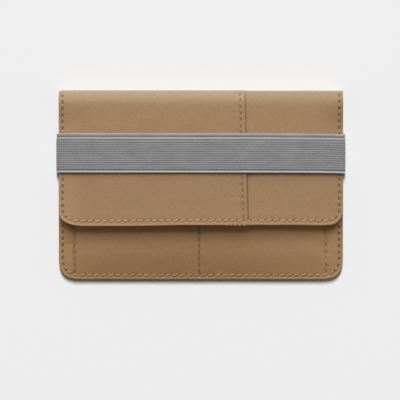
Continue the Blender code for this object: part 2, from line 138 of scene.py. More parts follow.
# Rise of the flap's lower edge, in millimetres, as (x, rise)
HEM_LINE = (
    (-72, -0.64), (-50, -0.62), (-38, -0.55), (-25, -0.25), (-13, 0),
    (66, 0), (74, -0.25), (79, -0.2), (83, 0.1), (85.5, -0.15), (89, -0.2), (91.5, 0),
)

# Topstitching
SIDE_PITCH = 4.15 * MM
BOTTOM_PITCH = 4.6 * MM
THREAD_RADIUS = 0.33 * MM
STITCH_ARCH = 0.30 * MM
STITCH_END_DROP = 0.42 * MM
STITCH_WOBBLE = 0.08 * MM
STITCH_SINK = 0.30 * MM
LONGEST_STITCH = 7 * MM
SIDE_STITCH_SHARE = 0.60
BOTTOM_STITCH_SHARE = 0.90
STITCH_LEAN = 0.42 * MM
STITCH_TOP_Y = 59.2 * MM
INNER_ROW_WEIGHT = 0.75
OVERLAY_ROW_WEIGHT = 0.5
PIT_SLANT = math.radians(38)
PIT_LENGTH, PIT_SIDE_LENGTH = 0.62 * MM, 0.42 * MM
PIT_WIDTH, PIT_SIDE_WIDTH = 0.44 * MM, 0.09 * MM

# Waves and puckers of the cloth: waves as (height, cell across, cell up) in millimetres, and a seed
POUCH_WAVES = ((0.16, 31, 19, 3), (0.05, 9, 7, 5))
FLAP_WAVES = ((0.10, 27, 21, 23), (0.035, 8, 7, 29))
WAVE_CALM_REACH = 8 * MM
PUCKER_LONG, PUCKER_SHORT = 6 * MM, 2.1 * MM
PUCKER_WIDTH = 2.6 * MM
ROW_PUCKER_LONG = 5 * MM
ROW_PUCKER_WIDTH = 2.8 * MM

# Overlay on the flap
OVERLAY_LIFT = 0.7 * MM
OVERLAY_TOP_X = 28.1 * MM
OVERLAY_LEAN = 2.1 * MM
OVERLAY_ROW = 3.0 * MM
OVERLAY_TUCK = 0.05 * MM
SCALLOP_PITCH = 2.9 * MM
SCALLOP_X = 24.8 * MM
SCALLOP_RUN = 9 * MM
SCALLOP_HEIGHT = 0.1 * MM
SCALLOP_PULL = 0.7 * MM
HEM_PUCKER = 0.07 * MM

# Elastic band, with the ribs as (place in the pitch, share of painted shade in the groove)
BAND_THICK = 1.2 * MM
BAND_TOP_RADIUS = 1.1 * MM
BAND_BOTTOM_RADIUS = 2.5 * MM
BAND_STEP = 0.45 * MM
BAND_STEP_RUN = 9 * MM
BAND_RIPPLE = 0.03 * MM
BAND_WANDER = 0.08 * MM
BAND_LOWER_RIGHT, BAND_LOWER_END = 0.22 * MM, 0.35 * MM
RIB_COUNT = 13
RIB_PITCH = 1.415 * MM
RIB_START = 4.75 * MM
RIB_DROP = 0.12 * MM
RIB_PROFILE = ((-0.5, 1.0), (-0.36, 0.3), (-0.2, 0.0), (0.0, 0.0), (0.2, 0.0), (0.36, 0.3))
LOOP_PITCH = 1.3 * MM

# Textures: sizes of their features
WEAVE_PITCH, LINING_PITCH = 0.36 * MM, 0.30 * MM
SLUB_CELL = 0.38 * MM
FLECK_CELL = 0.75 * MM
MOTTLE_CELL = 2.4 * MM
CREASE_CELL = 10.5 * MM
PATCH_CELL = 26 * MM
PLY_PITCH = 0.5 * MM
FIBRE_CELL = 0.31 * MM
KNIT_PATCH_CELL = 4.2 * MM
LOOP_PATCH_CELL = 7 * MM


# Small maths on arrays


def portion(value, reach):
    """0 where the value is 0 or less, and 1 from reach on."""
    return np.clip(value / reach, 0, 1)


def smooth(share):
    return share * share * (3 - 2 * share)


def eased(share):
    return np.sin(np.pi / 2 * np.clip(share, 0, 1)) ** EASE_POWER


def bell(distance, width):
    return np.exp(-((distance / width) ** 2))


def soft_noise(u, v, cell_u, cell_v, seed):
    """Smooth noise from -1 to 1, with features about one cell across."""
    u, v = np.asarray(u) / cell_u + 512.0, np.asarray(v) / cell_v + 512.0
    iu, iv = np.floor(u), np.floor(v)
    fu, fv = u - iu, v - iv
    fu, fv = smooth(fu), smooth(fv)

    def corner(i, j):
        value = np.sin(i * 127.1 + j * 311.7 + seed * 74.7) * 43758.5453
        return 2 * (value - np.floor(value)) - 1

    low = corner(iu, iv) * (1 - fu) + corner(iu + 1, iv) * fu
    high = corner(iu, iv + 1) * (1 - fu) + corner(iu + 1, iv + 1) * fu
    return low * (1 - fv) + high * fv


def waves(x, y, inset, layers):
    """Slow waves of the cloth, calm at its edge."""
    height = sum(share * soft_noise(x, y, across * MM, up * MM, seed) for share, across, up, seed in layers)
    return height * portion(inset, WAVE_CALM_REACH)


def seam_dip(past_row):
    """Dip along a stitch row, steep on its outer side and gentle on its inner side."""
    return bell(past_row, np.where(past_row > 0, SEAM_DIP_INNER, SEAM_DIP_OUTER))


def body_inset(x, y):
    """Distance in from the pouch's rounded outline."""
    side = np.maximum(np.abs(x) - (HALF_WIDTH - BODY_CORNER), 0)
    down = np.maximum(LOW_Y + BODY_CORNER - y, 0)
    corner = BODY_CORNER - (side**BODY_POWER + down**BODY_POWER) ** (1 / BODY_POWER)
    plain = np.minimum(HALF_WIDTH - np.abs(x), y - LOW_Y)
    return np.where((side > 0) | (down > 0), corner, plain)


def pillow_inset(x, y):
    """Distance in from the pouch's edge, with no ridge where the side and the bottom meet."""
    reach = RISE + SEAM_INSET
    side = np.maximum(np.abs(x) - HALF_WIDTH + reach, 0)
    down = np.maximum(LOW_Y + reach - y, 0)
    return reach - (side**PILLOW_POWER + down**PILLOW_POWER) ** (1 / PILLOW_POWER)


# Surfaces of the sewn layers, without their stitch holes


def cell_puff(x):
    """Fullness of the two cells between the pocket rows, from 0 at a row to 1 between two."""
    left, middle, right = BODY_ROWS_X
    place = np.where(x < middle, portion(x - left, middle - left), portion(x - middle, right - middle))
    return np.maximum(np.sin(np.pi * place), 0) ** PUFF_POWER


def pouch_fullness(x, y):
    """1 high up in the pouch, and less below the flap's edge and on the right, where it is emptier."""
    low = portion(FLAP_Y + LOW_START - y, LOW_REACH)
    return (1 - LOW_SHARE * smooth(low)) * (1 - EMPTY_SHARE * low * smooth(portion(x, EMPTY_REACH)))


def front_z(x, y, inset):
    """Outer surface of the front panel."""
    rise = eased((pillow_inset(x, y) - SEAM_INSET) / RISE) * pouch_fullness(x, y)
    top = SEAM_Z + rise * (ROW_Z - SEAM_Z + PUFF * cell_puff(x))
    for row_x in BODY_ROWS_X:
        top = top - ROW_DIP * bell(x - row_x, ROW_DIP_WIDTH) * portion(inset - ROW_DIP_START, ROW_DIP_RISE)
    return top - SEAM_DIP * seam_dip(inset - SEAM_INSET)


def back_z(y, inset):
    """Outer surface of the back panel, which faces down: level, and drawn up to its seams."""
    below_fold = smooth(portion(FOLD_Y - FOLD_REACH - y, BACK_CALM_REACH))
    side_share = np.where(y < LOW_Y + BODY_CORNER, 1.0, below_fold)
    bottom = BACK_Z + BACK_LIFT * (1 - eased(inset / BACK_RISE)) * side_share
    return bottom + BACK_DIP * bell(inset - SEAM_INSET, BACK_DIP_WIDTH)


def crown_turn(y):
    """Angle round the crown of the fold, from 0 where the flap is level."""
    return np.arcsin(portion(y - FOLD_Y + CROWN_REACH, CROWN_REACH) ** (CROWN_POWER / 2))


def crown_normal(turn, reach=CROWN_REACH, power=CROWN_POWER):
    """Outward direction on one half of the fold."""
    across = np.maximum(np.sin(turn), 0) ** (2 - 2 / power) / reach
    up = np.maximum(np.cos(turn), 0) ** (2 - 2 / power) / HALF_Z
    size = np.hypot(across, up)
    return across / size, up / size


def shoulder(y):
    """Gentle fall of the flap towards the crown of the fold."""
    return SHOULDER_DROP * portion(y - FOLD_Y + SHOULDER_REACH, SHOULDER_REACH) ** SHOULDER_POWER


def side_droop(x, y):
    """Fall of the flap and the elastic towards the sides, which fades out at the fold."""
    share = np.maximum((np.abs(x) - HALF_WIDTH + DROOP_REACH) / DROOP_REACH, 0)
    fade = portion(y - FOLD_Y + FADE_REACH, FADE_REACH - FOLD_REACH)
    return DROOP * share**2 * np.cos(np.pi / 2 * fade) ** 2


def flap_level(x, y):
    """The flap's plain surface, with its fall to the sides and to the fold, and its lift at the hem."""
    crown = 1 - np.cos(crown_turn(y)) ** (2 / CROWN_POWER)
    hem = HEM_LIFT * portion(FLAP_Y + HEM_LIFT_REACH - y, HEM_LIFT_REACH) ** 2
    return FLAP_Z + hem - side_droop(x, y) - shoulder(y) - (HALF_Z - SHOULDER_DROP) * crown


def arc_rise(x, long, high):
    """How far a left corner of these radii lifts the lower edge at x."""
    return high * (1 - np.sqrt(1 - portion(long - HALF_WIDTH - x, long) ** 2))


def hem_shift(x, y):
    """The flap's lower edge sags a little on the left, and its left corner is long."""
    at, rise = np.array(HEM_LINE).T * MM
    sag = np.mean([np.interp(x + step, at, rise) for step in HEM_LINE_STEPS], axis=0)
    corner = arc_rise(x, *LONG_CORNER) - arc_rise(x, FLAP_CORNER, FLAP_CORNER)
    return (sag + corner) * smooth(portion(FLAP_Y + HEM_LINE_REACH - y, HEM_LINE_REACH))


def off_flap(x, y, out):
    """Points that stand out from the flap's plain surface."""
    across, up = crown_normal(crown_turn(y))
    return np.stack([x + 0 * out, y + across * out + hem_shift(x, y), flap_level(x, y) + up * out], -1)


def flap_dip(inset, down):
    """Dip along the flap's stitch row, which lies further in along the bottom than at the sides."""
    return -FLAP_DIP * seam_dip(inset - SEAM_INSET - (HEM_INSET - SEAM_INSET) * down)


# Grids with a rolled edge

CORNER_LINES = [v * MM for v in (1.3, 1.75, 2.1, 2.5, 2.9, 3.3, 3.8, 4.6, 5.6, 6.8, 8.2, 9.8, 11.5, 13.2, 15)]
LEAST_RING = 0.15 * MM
LEAST_LINE = 0.1 * MM


class Layout:
    """Grid points of a sheet: where each lies, and how far each stands off the plain surface.

    Left, right and low edges follow an edge profile of (inset, lift) pairs, from the hidden
    end to the plain sheet, round soft lower corners. The upper end is a list of rows.
    """

    def __init__(self, half_width, low_y, corner, power, profile, columns, lines, upper=()):
        insets, lifts = np.array(profile).T
        inner = np.array([line for line in CORNER_LINES if insets[-1] + LEAST_RING < line < corner])
        ring_inset = np.concatenate([insets, inner, [corner]])
        ring_lift = np.concatenate([lifts, np.zeros(len(inner) + 1)])
        steps = np.abs(np.diff(ring_inset)) + np.abs(np.diff(ring_lift))
        walk = np.concatenate([[0], np.cumsum(steps)])
        away = np.append(1 - walk / walk[-1], 0)
        mid_x = [x for x in columns if abs(x) < half_width - corner - LEAST_LINE]
        mid_y = [y for y in lines if y > low_y + corner + LEAST_LINE]

        # Ring numbers of the columns and of the rows, one past the last ring on the plain sheet
        rings = len(ring_inset)
        kx = np.concatenate([np.arange(rings), np.full(len(mid_x), rings), np.arange(rings)[::-1]])[None, :]
        ky = np.concatenate([np.arange(rings), np.full(len(mid_y), rings)])[:, None]
        side = np.concatenate([-np.ones(rings), np.zeros(len(mid_x)), np.ones(rings)])[None, :]
        plain_x = np.concatenate([np.zeros(rings), mid_x, np.zeros(rings)])[None, :]
        plain_y = np.concatenate([np.zeros(rings), mid_y])[:, None]
        ring = np.minimum(np.minimum(kx, ky), rings - 1)
        ax, ay = away[kx], away[ky]
        big = np.maximum(np.maximum(ax, ay), TINY)
        ux, uy = ax / big, ay / big
        norm = np.maximum((ux**power + uy**power) ** (1 / power), TINY)
        reach = corner - ring_inset[ring]
        self.x = np.where(side == 0, plain_x, side * (half_width - corner + reach * ux / norm))
        self.y = np.where(ky >= rings, plain_y, low_y + corner - reach * uy / norm)
        outer = np.minimum(kx, ky) < rings - 1
        plain = np.minimum(half_width - np.abs(self.x), self.y - low_y)
        self.inset = np.where(outer, ring_inset[ring], plain)
        self.lift = np.where(outer, ring_lift[ring], 0.0)
        self.down = ay / np.maximum(ax + ay, TINY)
        self.add_upper(upper)

    def add_upper(self, upper):
        """Rows above the sheet's own: each repeats the last one at its y, with an extra lift."""
        count = len(upper)
        self.extra = np.zeros(self.x.shape[0] + count)
        if not count:
            return
        self.x, self.inset, self.lift, self.down = (
            np.concatenate([part, np.repeat(part[-1:], count, axis=0)])
            for part in (self.x, self.inset, self.lift, self.down)
        )
        tail = np.array([[y] * self.x.shape[1] for y, _ in upper])
        self.y = np.concatenate([self.y, tail])
        self.extra[-count:] = [lift for _, lift in upper]


def spread(start, end, step):
    """Even places from start to end, about a step apart."""
    count = max(int(round(abs(end - start) / step)), 1)
    return [start + (end - start) * i / count for i in range(count + 1)]


def merged(*runs, least=0.25 * MM):
    """Sorted places from several runs, without near repeats."""
    kept = []
    for value in sorted(v for run in runs for v in run):
        if not kept or value - kept[-1] > least:
            kept.append(value)
    return kept


def grid_faces(rows, columns, flip=False):
    index = np.arange(rows * columns).reshape(rows, columns)
    quads = np.stack([index[:-1, :-1], index[:-1, 1:], index[1:, 1:], index[1:, :-1]], -1).reshape(-1, 4)
    return quads[:, ::-1] if flip else quads


def scene_object(name, data):
    """An object with this data, in the scene."""
    item = bpy.data.objects.new(name, data)
    bpy.context.scene.collection.objects.link(item)
    return item


def new_piece(name, points, faces, material, rest=None, marks=None):
    """A smooth mesh object, with its flat place in the cloth kept for the shaders."""
    mesh = bpy.data.meshes.new(name)
    points = np.ascontiguousarray(points, float).reshape(-1, 3)
    mesh.from_pydata(points.tolist(), [], [[int(corner) for corner in face] for face in faces])
    mesh.materials.append(material)
    flat = mesh.attributes.new("rest", "FLOAT_VECTOR", "POINT")
    flat.data.foreach_set("vector", np.asarray(points if rest is None else rest, float).ravel())
    for key, values in (marks or {}).items():
        mark = mesh.attributes.new(key, "FLOAT", "POINT")
        mark.data.foreach_set("value", np.asarray(values, float).ravel())
    mesh.shade_smooth()
    mesh.update()
    return scene_object(name, mesh)


def pit_field(x, y, holes):
    """1 at a needle hole and 0 away from it. Holes are drawn out along a side row and aslant elsewhere."""
    tree = kdtree.KDTree(len(holes))
    for number, hole in enumerate(holes):
        tree.insert((*hole[:2], 0), number)
    tree.balance()
    near = [tree.find((px, py, 0))[1] for px, py in zip(x.ravel(), y.ravel())]
    hole_x, hole_y, ahead_x, ahead_y, side_share, weight = np.array(holes)[near].T
    slant = PIT_SLANT * (1 - side_share)
    ux = ahead_x * np.cos(slant) - ahead_y * np.sin(slant)
    uy = ahead_x * np.sin(slant) + ahead_y * np.cos(slant)
    dx, dy = x.ravel() - hole_x, y.ravel() - hole_y
    along = bell(dx * ux + dy * uy, PIT_LENGTH + PIT_SIDE_LENGTH * side_share)
    across = bell(dy * ux - dx * uy, PIT_WIDTH + PIT_SIDE_WIDTH * side_share)
    return (along * across * weight).reshape(x.shape)


# Stitch rows


def contour_row(half_width, low_y, corner, power, side_inset, low_inset, top_y):
    """Points down the left side, round the bottom and up the right side, at a row's inset."""
    turns = np.linspace(0, np.pi / 2, 40)
    across, down = np.cos(turns) ** (2 / power), np.sin(turns) ** (2 / power)
    reach = corner - side_inset - (low_inset - side_inset) * down / (across + down)
    left_low = zip(corner - half_width - reach * across, low_y + corner - reach * down)
    run = [(side_inset - half_width, top_y), *left_low]
    return run + [(-x, y) for x, y in reversed(run)]


def holes_along(run, first=0.0, weight=1.0):
    """Needle holes along a polyline: place, direction, how far the row runs up the case, and weight."""
    run = np.array(run)
    lengths = np.concatenate([[0], np.cumsum(np.hypot(*np.diff(run, axis=0).T))])
    at = lambda place: np.array([np.interp(place, lengths, run[:, k]) for k in (0, 1)])
    place, holes = first, []
    while place <= lengths[-1]:
        ahead = at(min(place + MM, lengths[-1])) - at(max(place - MM, 0))
        ahead = ahead / np.hypot(*ahead)
        side_share = abs(ahead[1])
        holes.append((*at(place), *ahead, side_share, weight))
        place += BOTTOM_PITCH + (SIDE_PITCH - BOTTOM_PITCH) * side_share
    return holes


def stitches(name, holes, place, material, lean=1.0):
    """A row of sewn stitches: each lies over the dip between two holes, a little aslant.

    place(x, y, out) gives the point that stands out from the cloth's surface by out.
    """
    along, around = 9, 8
    points, faces = [], []
    turns = np.linspace(0, 2 * np.pi, around, endpoint=False)
    steps = np.linspace(-1, 1, along)
    arch = STITCH_ARCH * (1 - steps**4) - STITCH_END_DROP * steps**8
    radii = THREAD_RADIUS * (1 - 0.35 * steps**6) * math.sqrt(holes[0][5])
    for number, (first, second) in enumerate(zip(holes[:-1], holes[1:])):
        a, b = np.array(first[:2]), np.array(second[:2])
        length = np.hypot(*(b - a))
        if length > LONGEST_STITCH:
            continue
        side_share = (first[4] + second[4]) / 2
        share = BOTTOM_STITCH_SHARE + (SIDE_STITCH_SHARE - BOTTOM_STITCH_SHARE) * side_share
        slant = STITCH_LEAN * (1 - 0.65 * side_share) * lean
        direction = (b - a) / length
        side = np.array([-direction[1], direction[0]])
        wobble = soft_noise(number * 7.3, 0.0, 1.0, 1.0, len(holes)) * STITCH_WOBBLE
        start = len(points)
        spots = (a + b) / 2 + np.outer(steps, direction) * length / 2 * share
        spots = spots + np.outer(slant * steps + wobble, side)
        ring = spots[:, None, :] + radii[:, None, None] * np.cos(turns)[None, :, None] * side
        out = arch[:, None] + 0.8 * radii[:, None] * np.sin(turns)[None, :]
        points += place(ring[..., 0], ring[..., 1], out).reshape(-1, 3).tolist()
        for base in range(start, len(points) - around, around):
            for j in range(around):
                k = (j + 1) % around
                faces.append((base + j, base + around + j, base + around + k, base + k))
        faces.append(range(start, start + around))
        faces.append(range(len(points) - 1, len(points) - 1 - around, -1))
    return new_piece(name, points, faces, material)


# Materials


class Nodes:
    """Short names for building one procedural material, or the world."""

    def __init__(self, owner):
        owner.use_nodes = True
        self.owner = owner
        self.tree = owner.node_tree

    def put(self, target, value):
        if isinstance(value, bpy.types.NodeSocket):
            self.tree.links.new(value, target)
        else:
            target.default_value = value

    def set(self, name, value, node="Principled BSDF"):
        self.put(self.tree.nodes[node].inputs[name], value)

    def new(self, kind):
        return self.tree.nodes.new("ShaderNode" + kind)

    def fill(self, node, inputs, output=0):
        """Sets or links a node's inputs, and gives one of its outputs."""
        for key, value in inputs.items():
            self.put(node.inputs[key], value)
        return node.outputs[output]

    def add(self, kind, inputs, output=0):
        return self.fill(self.new(kind), inputs, output)

    def attribute(self, name, output="Fac"):
        node = self.new("Attribute")
        node.attribute_name = name
        return node.outputs[output]

    def maths(self, operation, a, b=0.0):
        node = self.new("Math")
        node.operation = operation
        return self.fill(node, {0: a, 1: b})

    def times(self, a, b):
        return self.maths("MULTIPLY", a, b)

    def scaled(self, vector, scale):
        return self.add("Mapping", {"Vector": vector, "Scale": scale})

    def staggered(self, vector, pitch, row_height):
        """The vector with its X moved on by half a pitch in every other row."""
        along, up = (self.add("SeparateXYZ", {0: vector}, part) for part in "XY")
        row = self.maths("FLOOR", self.maths("DIVIDE", up, row_height))
        along = self.maths("ADD", along, self.times(row, pitch / 2))
        return self.add("CombineXYZ", {"X": along, "Y": up})

    def noise(self, vector, cell, detail=2.0):
        return self.add("TexNoise", {"Vector": vector, "Scale": 1 / cell, "Detail": detail}, "Fac")

    def wave(self, vector, pitch, direction, distortion):
        """Even bands, one to each pitch."""
        node = self.new("TexWave")
        node.bands_direction = direction
        scale = math.pi / (10 * pitch)
        inputs = {"Vector": vector, "Scale": scale, "Distortion": distortion, "Detail": 1.0}
        return self.fill(node, inputs, "Fac")

    def mix(self, share, a, b):
        node = self.new("Mix")
        node.data_type = "RGBA"
        a, b = (part if isinstance(part, bpy.types.NodeSocket) else (*part, 1) for part in (a, b))
        return self.fill(node, {"Factor": share, "A": a, "B": b}, "Result")

    def ramp(self, share, low, high):
        return self.add("MapRange", {"Value": share, "From Min": low, "From Max": high}, "Result")

    def bump(self, height, distance, strength, **normal):
        inputs = {"Distance": distance, "Strength": strength, "Height": height, **normal}
        return self.add("Bump", inputs, "Normal")


def darker(colour, share):
    return tuple(part * share for part in colour)


def woven_cloth(name, colour, warm, dark, painted_sheen, pitch=WEAVE_PITCH, sheen=0.04, roughness=0.7, shine=0.24):
    """Fine plain weave with slow random changes of tone, small creases, and painted light and shade: painted
    lighter where the pale mark is set, a paler, greyer painted sheen on the fold, and dark painted shade in
    the needle holes and along the fold's corner.
    """
    n = Nodes(bpy.data.materials.new(name))
    rest = n.attribute("rest", "Vector")
    weave = n.times(n.wave(rest, pitch, "X", 1.2), n.wave(rest, pitch, "Y", 1.2))
    slub = n.noise(n.scaled(rest, (1.0, 0.14, 1.0)), SLUB_CELL, 1.0)
    shade = n.mix(n.ramp(n.noise(rest, PATCH_CELL, 3.0), 0.36, 0.64), colour, warm)
    shade = n.mix(n.ramp(n.noise(rest, MOTTLE_CELL), 0.2, 0.8), shade, darker(colour, 0.93))
    # Painted light: the cloth is painted lighter where the pale mark is set.
    shade = n.mix(n.attribute("pale"), shade, darker(colour, 1.14))
    # Painted sheen: the cloth round the fold is painted paler and greyer.
    shade = n.mix(n.attribute("painted_sheen"), shade, painted_sheen)
    shade = n.mix(n.times(n.maths("SUBTRACT", 1.0, weave), 0.22), shade, dark)
    across = n.noise(n.scaled(rest, (0.28, 1.0, 1.0)), FLECK_CELL, 1.0)
    along = n.noise(n.scaled(rest, (1.0, 0.28, 1.0)), FLECK_CELL, 1.0)
    flecks = n.ramp(n.maths("ADD", across, along), 0.75, 1.25)
    shade = n.mix(n.times(flecks, 0.13), shade, dark)
    # Painted shade: needle holes, the crevice beside the overlay's edge, the dents of its rolled edge and the
    # fold's corner are painted dark.
    shade = n.mix(n.attribute("painted_shade"), shade, dark)
    n.set("Base Color", shade)
    n.set("Roughness", roughness)
    n.set("Sheen Weight", sheen)
    n.set("Sheen Roughness", 0.45)
    n.set("Sheen Tint", (*[min(part * 1.6, 1) for part in colour], 1))
    n.set("Specular IOR Level", shine)
    creases = n.bump(n.noise(n.scaled(rest, (1.0, 1.6, 1.0)), CREASE_CELL, 3.0), 0.35 * MM, 0.35)
    threads = n.bump(weave, 0.035 * MM, 0.6, Normal=creases)
    n.set("Normal", n.bump(slub, 0.03 * MM, 0.5, Normal=threads))
    return n.owner


def sewing_thread(name, colour, dark):
    """Twisted thread with slanting plies."""
    n = Nodes(bpy.data.materials.new(name))
    rest = n.attribute("rest", "Vector")
    plies = n.wave(rest, PLY_PITCH, "DIAGONAL", 0.6)
    n.set("Base Color", n.mix(n.times(plies, 0.4), colour, dark))
    n.set("Roughness", 0.5)
    n.set("Specular IOR Level", 0.5)
    n.set("Normal", n.bump(plies, 0.06 * MM, 0.7))
    return n.owner


def ribbed_elastic(name, colour, pale, dark):
    """Knitted ribs of small loops, with painted shade in the grooves between the ribs, and pale edge cords.
    """
    n = Nodes(bpy.data.materials.new(name))
    rest = n.attribute("rest", "Vector")
    loops = n.wave(n.staggered(rest, LOOP_PITCH, RIB_PITCH), LOOP_PITCH, "X", 0.8)
    fibres = n.noise(n.scaled(rest, (0.25, 1.0, 1.0)), FIBRE_CELL)
    patches = n.ramp(n.noise(n.scaled(rest, (0.5, 1.0, 1.0)), KNIT_PATCH_CELL, 3.0), 0.3, 0.7)
    shade = n.mix(patches, colour, darker(colour, 0.86))
    clear = n.ramp(n.noise(n.scaled(rest, (0.6, 1.0, 1.0)), LOOP_PATCH_CELL), 0.35, 0.65)
    depth = n.maths("ADD", 0.28, n.times(clear, 0.22))
    shade = n.mix(n.times(loops, depth), shade, dark)
    shade = n.mix(n.attribute("cord"), shade, pale)
    # Painted shade in the grooves between ribs and cords.
    shade = n.mix(n.times(n.attribute("groove_shade"), 0.5), shade, dark)
    n.set("Base Color", shade)
    n.set("Roughness", 0.72)
    n.set("Sheen Weight", 0.15)
    n.set("Sheen Roughness", 0.5)
    n.set("Specular IOR Level", 0.25)
    n.set("Normal", n.bump(fibres, 0.05 * MM, 0.6, Normal=n.bump(loops, 0.10 * MM, 0.5)))
    return n.owner


# Colours of each cloth: base, warm patches, dark for the weave, flecks and painted shade, and the paler,
# greyer painted sheen for the fold.
fabric = woven_cloth(
    "tan_nylon",
    (0.424, 0.271, 0.141), (0.440, 0.271, 0.140), (0.085, 0.044, 0.014), (0.445, 0.319, 0.189),
)
# Painted shade: a darker, more saturated copy of the tan nylon, used on the pouch.
shaded_pouch_fabric = woven_cloth(
    "tan_nylon_pouch_shaded",
    (0.397, 0.238, 0.113), (0.411, 0.238, 0.112), (0.080, 0.039, 0.011), (0.400, 0.270, 0.155),
)
lining = woven_cloth(
    "lining_cloth",
    (0.255, 0.165, 0.094), (0.270, 0.168, 0.094), (0.060, 0.034, 0.014), (0.270, 0.180, 0.110),
    pitch=LINING_PITCH, sheen=0.05, roughness=0.62, shine=0.3,
)
thread = sewing_thread("topstitch_thread", (0.43, 0.285, 0.165), (0.22, 0.13, 0.06))
# Painted shade: a darker copy of the topstitch thread for the pocket rows, standing for thread sunk into
# shade.
shaded_thread = sewing_thread("shaded_pocket_row_thread", (0.31, 0.185, 0.09), (0.16, 0.085, 0.035))
elastic = ribbed_elastic("grey_elastic", (0.306, 0.306, 0.307), (0.395, 0.395, 0.394), (0.080, 0.080, 0.081))


# Shared shapes


def profile(*pairs):
    """Edge profile of (inset, lift) in millimetres, from the hidden end to the plain sheet."""
    return [(inset * MM, lift * MM) for inset, lift in pairs]


BODY_EDGE = profile(
    (0.5, -0.85), (0.14, -0.78), (0, -0.55), (0, -0.25), (0.01, 0.0),
    (0.07, 0.07), (0.2, 0.095), (0.42, 0.085), (0.8, 0.055), (1.35, 0.02),
)
FLAP_EDGE = profile(
    (1.9, -1.98), (1.1, -2.02), (0.45, -1.92), (0.1, -1.6), (0, -1.15),
    (0, -0.6), (0.04, -0.24), (0.14, -0.02), (0.32, 0.11), (0.7, 0.13), (1.2, 0.08),
)
OVERLAY_EDGE = profile(
    (0.55, -0.72), (0.2, -0.68), (0.03, -0.54), (0, -0.32), (0, -0.06),
    (0.05, 0.08), (0.16, 0.15), (0.42, 0.14), (0.8, 0.09), (1.2, 0.03),
)
LINING_EDGE = profile((0, 0), (0.4, 0))

# Turned hems as (distance back from the edge, lift)
MOUTH_HEM = profile((0.4, 0), (0.08, -0.14), (0, -0.4), (0.08, -0.62), (0.5, -0.72), (7, -0.72))
OVERLAY_HEM = profile(
    (3.9, 0), (3.5, 0), (3.2, -0.06), (3.0, -0.12), (2.8, -0.06), (2.4, 0.06), (1.8, 0.14), (1.2, 0.17),
    (0.7, 0.16), (0.3, 0.08), (0.07, -0.08), (0, -0.3), (0.07, -0.52), (0.3, -0.64), (2.0, -0.66),
)

# Stitch rows, each with the place of its first hole
ROWS_TOP_Y = MOUTH_Y - 3 * MM
POCKET_ROW_LOW_Y = LOW_Y + SEAM_INSET + 1.2 * MM
perimeter_run = contour_row(HALF_WIDTH, LOW_Y, BODY_CORNER, BODY_POWER, SEAM_INSET, SEAM_INSET, ROWS_TOP_Y)
perimeter_holes = holes_along(perimeter_run, 1.5 * MM)
pocket_rows = {
    word: holes_along([(x, POCKET_ROW_LOW_Y), (x, ROWS_TOP_Y)], 0.6 * MM, INNER_ROW_WEIGHT)
    for word, x in zip(("left", "middle", "right"), BODY_ROWS_X)
}
flap_run = contour_row(HALF_WIDTH, FLAP_Y, FLAP_CORNER, FLAP_POWER, SEAM_INSET, HEM_INSET, STITCH_TOP_Y)
flap_holes = holes_along(flap_run, 2.2 * MM)

CROWN_TOP_Y = FOLD_Y - CROWN_REACH + CROWN_REACH * math.sin(CROWN_GRID_TURN) ** (2 / CROWN_POWER)


def fold_rows(reach, power, start_turn, up):
    """Lines round one half of the fold: place and outward direction, from the panel to mid-spine."""
    rows, lines = [], 12
    lowered = SHOULDER_DROP if up > 0 else 0.0
    for turn in np.linspace(start_turn, np.pi / 2, lines)[1:]:
        across, height = crown_normal(turn, reach, power)
        y = FOLD_Y - reach + reach * math.sin(turn) ** (2 / power)
        rise = (HALF_Z - lowered) * max(math.cos(turn), 0) ** (2 / power)
        if lowered:
            rise += SHOULDER_DROP - float(shoulder(y))
        rows.append((y, MIDDLE_Z + up * rise, across, up * height))
    return rows + [(FOLD_Y, MIDDLE_Z - up * FOLD_OVERLAP, 1.0, 0.0)]


BACK_FOLD = fold_rows(FOLD_REACH, FOLD_POWER, 0.0, -1)
FLAP_FOLD = fold_rows(CROWN_REACH, CROWN_POWER, CROWN_GRID_TURN, 1)


def with_fold(points, x, out, rows):
    """Adds a sheet's run round the fold, at the distance out from the fold's surface."""
    more = [np.stack([x, y + across * out, z + height * out], -1) for y, z, across, height in rows]
    return np.concatenate([points, more])


def flat_places(points, lift):
    """Where each grid point lies in the flat cloth, for the weave."""
    steps = np.linalg.norm(np.diff(points, axis=0), axis=-1)
    middle = steps[:, steps.shape[1] // 2]
    walk = points[0, 0, 1] + np.concatenate([[0], np.cumsum(middle)])
    flat = points.copy()
    flat[..., 1] = walk[:, None]
    flat[..., 2] = np.concatenate([lift, np.repeat(lift[-1:], len(points) - len(lift), 0)])
    return flat.reshape(-1, 3)


def padded_rows(values, count):
    return np.concatenate([values, np.zeros((count - len(values), values.shape[1]))])


def fold_sheen_share(points):
    """Painted sheen: 1 on the cloth that is drawn round the fold, which is painted paler and greyer there,
    and 0 on the rest.
    """
    start, reach = 10 * MM, 7 * MM
    return smooth(portion(points[..., 1] - FOLD_Y + start, reach))


def fold_corner_shade(points):
    """Painted shade along the corner of the fold."""
    width, depth, height = 1.1 * MM, 3 * MM, 4 * MM
    return 0.58 * bell(points[..., 1] - FOLD_Y, width) * bell(points[..., 2] - FLAP_Z + depth, height)


def fold_marks(pits_and_shade, points):
    """Painted shade of the needle holes and along the fold's corner as one share, and the painted sheen on
    the fold.
    """
    painted_shade_share = padded_rows(pits_and_shade, len(points)) + fold_corner_shade(points)
    return {"painted_shade": np.clip(painted_shade_share, 0, 1), "painted_sheen": fold_sheen_share(points)}


def round_fold_corners(points):
    """Takes the square corners off the ends of the top fold, more on the left."""
    x, y = points[..., 0], points[..., 1]
    radius = np.where(x < 0, FOLD_CORNER_LEFT, FOLD_CORNER_RIGHT)
    beyond = np.clip(radius - (FOLD_Y - y), 0, radius)
    pull = radius - np.sqrt(radius**2 - beyond**2)
    points[..., 0] = x - np.sign(x) * pull * (np.abs(x) / HALF_WIDTH) ** 12
    return points


